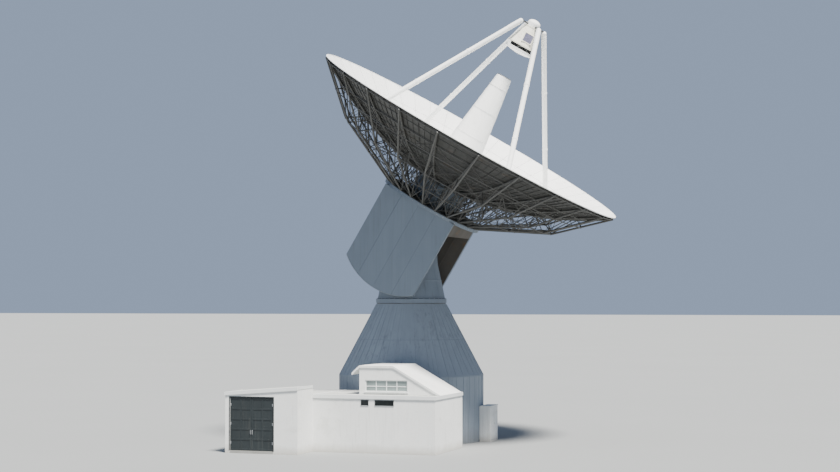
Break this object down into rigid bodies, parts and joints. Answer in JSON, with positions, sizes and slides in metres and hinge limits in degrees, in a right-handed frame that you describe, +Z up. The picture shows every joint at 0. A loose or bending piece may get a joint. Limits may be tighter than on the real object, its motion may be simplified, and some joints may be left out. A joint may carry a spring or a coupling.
{
  "type": "dish antenna on a pedestal with a service building",
  "caption": "Steerable dish antenna: trussed reflector with feed cone and legged subreflector on a turning head and clad conical pedestal, beside a low service building.",
  "frame": {"origin": "on the ground, on the azimuth axis, at the middle of the pedestal's floor", "axes": "+Z up, +X the way the dish looks at rest, -Y towards the service building's front"},
  "size_m": [19.445, 21.65, 25.461],
  "materials": {
    "cladding": "light grey painted sheet, satin",
    "bearing_steel": "dark grey painted steel",
    "concrete": "trowelled concrete",
    "render": "white painted render",
    "roofing": "pale grey roofing membrane",
    "door_grey": "dark grey painted steel",
    "glazing": "clear glass",
    "lattice_steel": "grey painted steel, weathered",
    "panel_white": "white painted aluminium, satin",
    "cabin_cream": "cream painted"
  },
  "bodies": {
    "base": {"pedestal_drum": "cladding", "pedestal_cone": "cladding", "pedestal_floor": "concrete", "azimuth_bearing_ring": "bearing_steel", "garage_left_pier": "render", "garage_right_pier": "render", "garage_lintel": "render", "garage_left_wall": "render", "garage_right_wall": "render", "garage_step_wall": "render", "garage_back_wall": "render", "garage_floor": "concrete", "garage_roof": "roofing", "main_front_wall": "render", "main_right_wall": "render", "main_back_wall": "render", "main_floor": "concrete", "main_roof": "roofing", "penthouse_front_wall": "render", "penthouse_back_wall": "render", "penthouse_left_wall": "render", "penthouse_glass": "glazing", "penthouse_roof": "roofing", "side_cabinet": "render"},
    "door_left": {"garage_door_left": "door_grey"},
    "door_right": {"garage_door_right": "door_grey"},
    "azimuth_head": {"turntable": "bearing_steel", "turning_head": "cladding"},
    "dish": {"trunk_near_cheek": "cladding", "trunk_far_cheek": "cladding", "trunk_back_plate": "cladding", "trunk_underside_plate": "cladding", "counterweight": "bearing_steel", "hub_deck": "lattice_steel", "central_hub": "lattice_steel", "back_structure_1": "lattice_steel", "back_structure_2": "lattice_steel", "back_structure_3": "lattice_steel", "back_structure_4": "lattice_steel", "reflector_quadrant_1": "panel_white", "reflector_quadrant_2": "panel_white", "reflector_quadrant_3": "panel_white", "reflector_quadrant_4": "panel_white", "feed_cone": "panel_white", "feed_window": "cabin_cream", "feed_leg_1": "panel_white", "feed_leg_2": "panel_white", "feed_leg_3": "panel_white", "feed_leg_4": "panel_white", "apex_plate": "panel_white", "subreflector_cabin": "cabin_cream", "subreflector": "panel_white"}
  },
  "joints": [
    {"name": "azimuth_turn", "type": "hinge", "parent": "base", "child": "azimuth_head", "pos_m": [0, 0, 8.4], "axis": [0, 0, 1], "range_deg": [-180, 180]},
    {"name": "elevation_tilt", "type": "hinge", "parent": "azimuth_head", "child": "dish", "pos_m": [0, 0, 12], "axis": [0, -1, 0], "range_deg": [-44.1, 30.9]},
    {"name": "door_left_hinge", "type": "hinge", "parent": "base", "child": "door_left", "pos_m": [-6.615, -11.54, 1.5], "axis": [0, 0, -1], "range_deg": [0, 90]},
    {"name": "door_right_hinge", "type": "hinge", "parent": "base", "child": "door_right", "pos_m": [-4.105, -11.54, 1.5], "axis": [0, 0, 1], "range_deg": [0, 90]}
  ]
}
